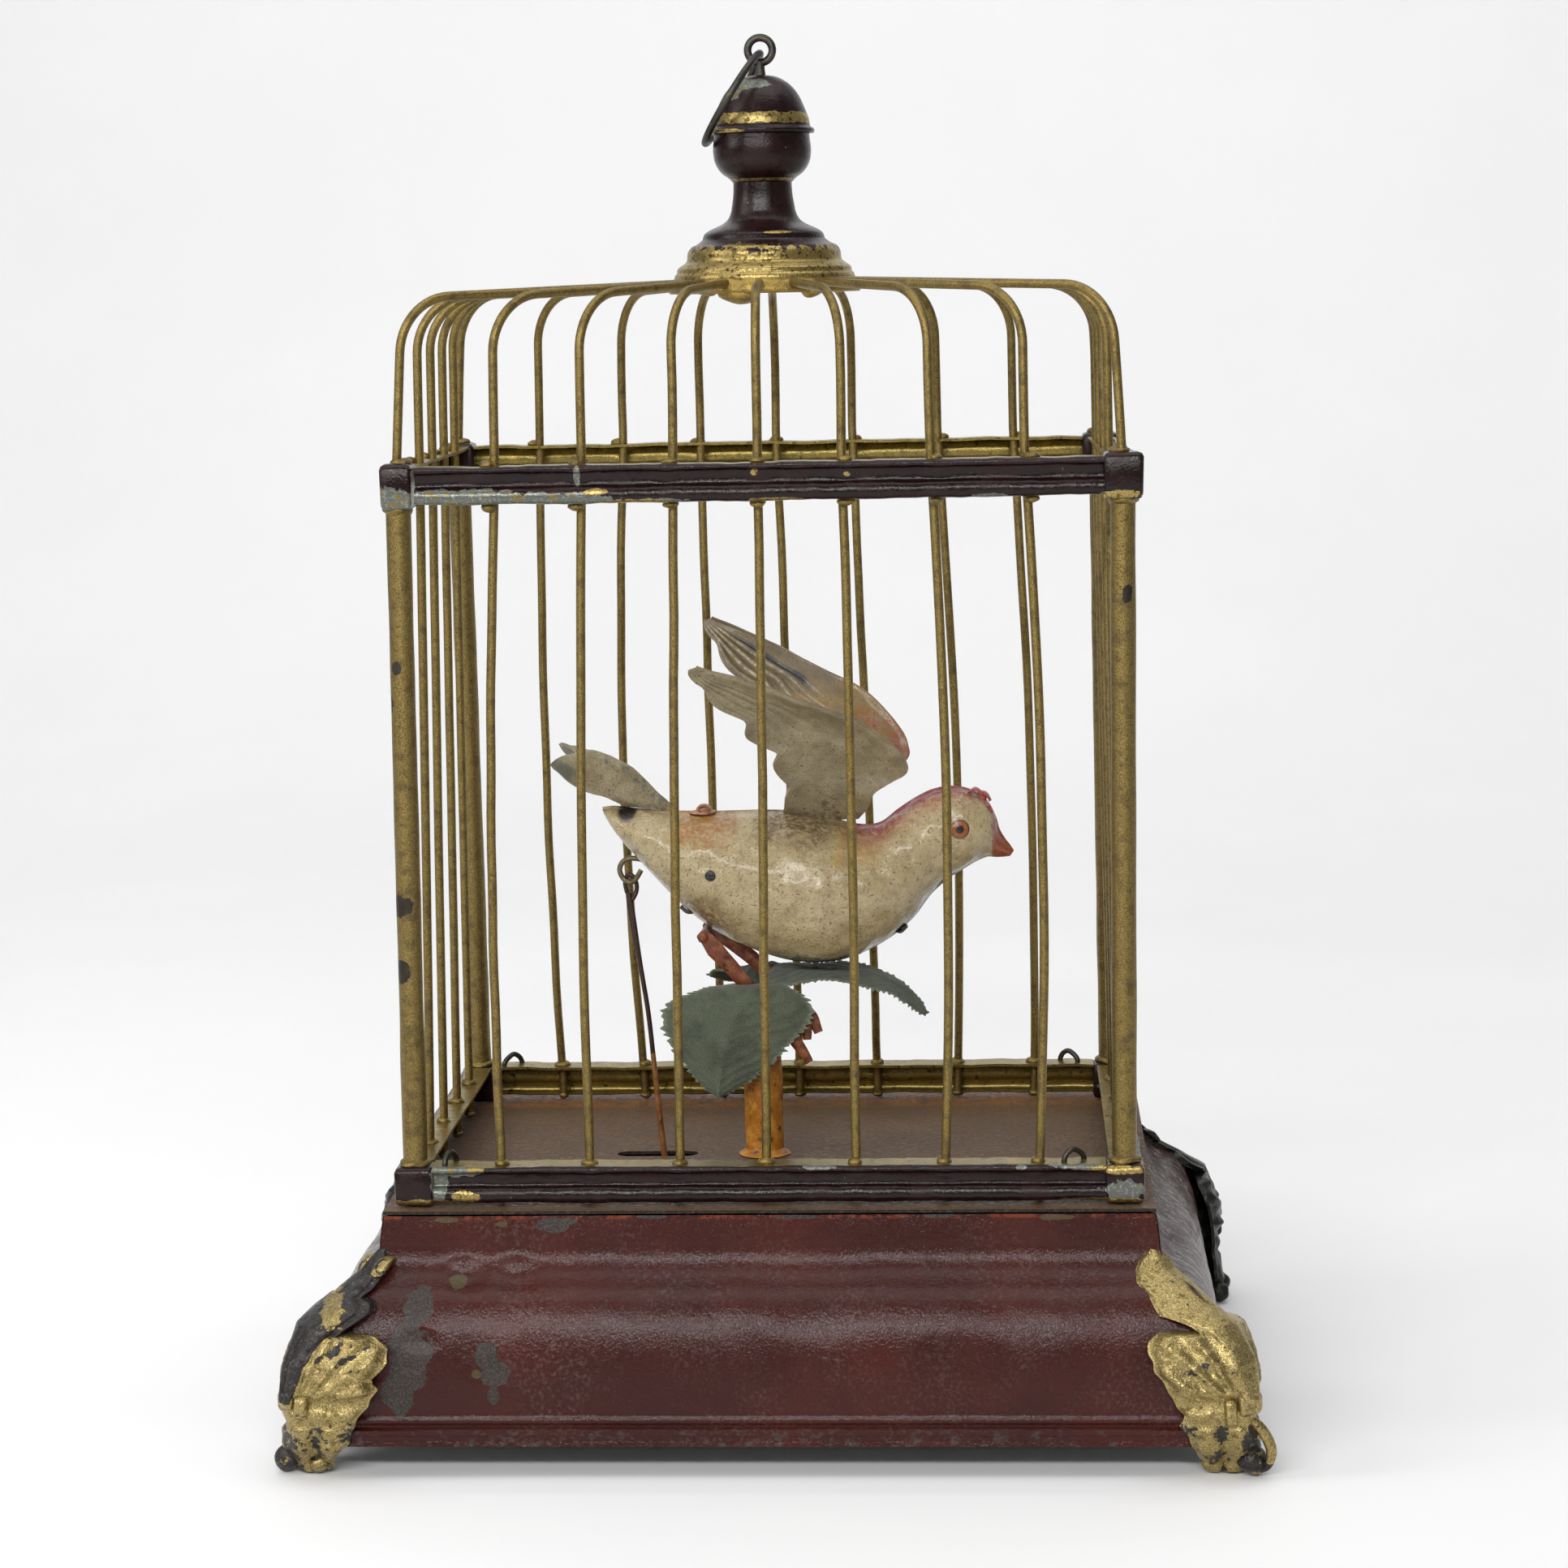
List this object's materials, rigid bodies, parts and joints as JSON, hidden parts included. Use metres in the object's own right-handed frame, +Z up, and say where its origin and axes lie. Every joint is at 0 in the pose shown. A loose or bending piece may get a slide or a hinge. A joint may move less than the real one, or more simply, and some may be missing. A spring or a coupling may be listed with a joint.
{
  "type": "birdcage music box",
  "caption": "Painted tin birdcage music box: a rocking bird on a perch in a domed wire cage, on a footed base with a hand crank, worm-driven pinned cylinder and comb",
  "frame": {"origin": "centre of the footprint's box, on the plane the feet stand on", "axes": "+Z up, front of the cage towards -Y, the bird's beak towards +X, the crank at the back towards +Y"},
  "size_m": [0.1688, 0.1366, 0.2471],
  "materials": {
    "oxblood_paint": "dark oxblood stoving paint on tin, worn and dented",
    "floor_paint": "matt sanded brown paint on tin",
    "gilt_tin": "bronze-gilt lacquer on stamped tin, tarnished",
    "gilt_wire": "gold lacquer on round wire, tarnished in patches",
    "maroon_lacquer": "glossy maroon-black lacquer on tin",
    "bird_cream": "cream paint on stamped tin with red, orange and blue washes",
    "ochre_paint": "ochre paint on rolled tin",
    "leg_paint": "brick-red paint on tin",
    "leaf_cloth": "dyed waxed cloth, faded grey-green",
    "iron_wire": "bare drawn iron wire, dulled",
    "brass": "plain brass",
    "steel": "plain steel",
    "knob_wood": "dark stained turned wood"
  },
  "bodies": {
    "housing": {"base_front_panel": "oxblood_paint", "base_back_panel": "oxblood_paint", "base_left_panel": "oxblood_paint", "base_right_panel": "oxblood_paint", "base_floor": "floor_paint", "base_bottom_cover": "oxblood_paint", "foot_front_left": "gilt_tin", "foot_front_right": "gilt_tin", "foot_back_left": "gilt_tin", "foot_back_right": "gilt_tin", "lower_rail_front": "maroon_lacquer", "lower_rail_back": "maroon_lacquer", "lower_rail_left": "maroon_lacquer", "lower_rail_right": "maroon_lacquer", "cage_side_front": "gilt_wire", "cage_side_back": "gilt_wire", "cage_side_left": "gilt_wire", "cage_side_right": "gilt_wire", "corner_block_front_left": "maroon_lacquer", "corner_block_front_right": "maroon_lacquer", "corner_block_back_left": "maroon_lacquer", "corner_block_back_right": "maroon_lacquer", "corner_post_front_left": "gilt_wire", "corner_post_front_right": "gilt_wire", "corner_post_back_left": "gilt_wire", "corner_post_back_right": "gilt_wire", "hub_disc": "gilt_tin", "finial_foot": "maroon_lacquer", "finial_cup": "maroon_lacquer", "finial_cap": "maroon_lacquer", "hanger_eye": "iron_wire", "perch_post": "ochre_paint", "bird_legs": "leg_paint", "leg_pin": "iron_wire", "leaf_front": "leaf_cloth", "leaf_right": "leaf_cloth", "leaf_back": "leaf_cloth", "crank_bush": "brass", "movement_frame": "brass", "tone_comb": "steel"},
    "bird": {"bird_body_right": "bird_cream", "bird_body_left": "bird_cream", "wing_right": "bird_cream", "wing_left": "bird_cream", "bird_tail": "bird_cream", "tail_hook": "iron_wire"},
    "rod": {"push_rod": "iron_wire"},
    "ring": {"hanging_ring": "iron_wire"},
    "crank": {"crank_shaft": "steel", "crank_disc": "brass", "crank_arm": "steel"},
    "knob": {"crank_knob": "knob_wood"},
    "cylinder": {"pinned_cylinder": "brass", "worm_wheel": "brass"}
  },
  "joints": [
    {"name": "bird_rock", "type": "hinge", "parent": "housing", "child": "bird", "pos_m": [-0.0131, -0.0103, 0.0857], "axis": [0, -1, 0], "range_deg": [-3, 27]},
    {"name": "rod_swing", "type": "hinge", "parent": "bird", "child": "rod", "pos_m": [-0.0273, -0.0103, 0.0954], "axis": [0, -1, 0], "range_deg": [-27, 3]},
    {"name": "ring_swing", "type": "hinge", "parent": "housing", "child": "ring", "pos_m": [0, -0.0059, 0.24375], "axis": [0, 1, 0], "range_deg": [0, 294]},
    {"name": "crank_spin", "type": "hinge", "parent": "housing", "child": "crank", "pos_m": [-0.0225, 0.0533, 0.028], "axis": [0, 1, 0], "continuous": true},
    {"name": "knob_spin", "type": "hinge", "parent": "crank", "child": "knob", "pos_m": [-0.0225, 0.0551, 0.012], "axis": [0, 1, 0], "continuous": true},
    {"name": "cylinder_spin", "type": "hinge", "parent": "housing", "child": "cylinder", "pos_m": [-0.0225, 0.0131, 0.0175], "axis": [1, 0, 0], "continuous": true}
  ],
  "couplings": [
    {"joint": "rod_swing", "follows": "bird_rock", "ratio": -1},
    {"joint": "cylinder_spin", "follows": "crank_spin", "ratio": 0.05}
  ]
}
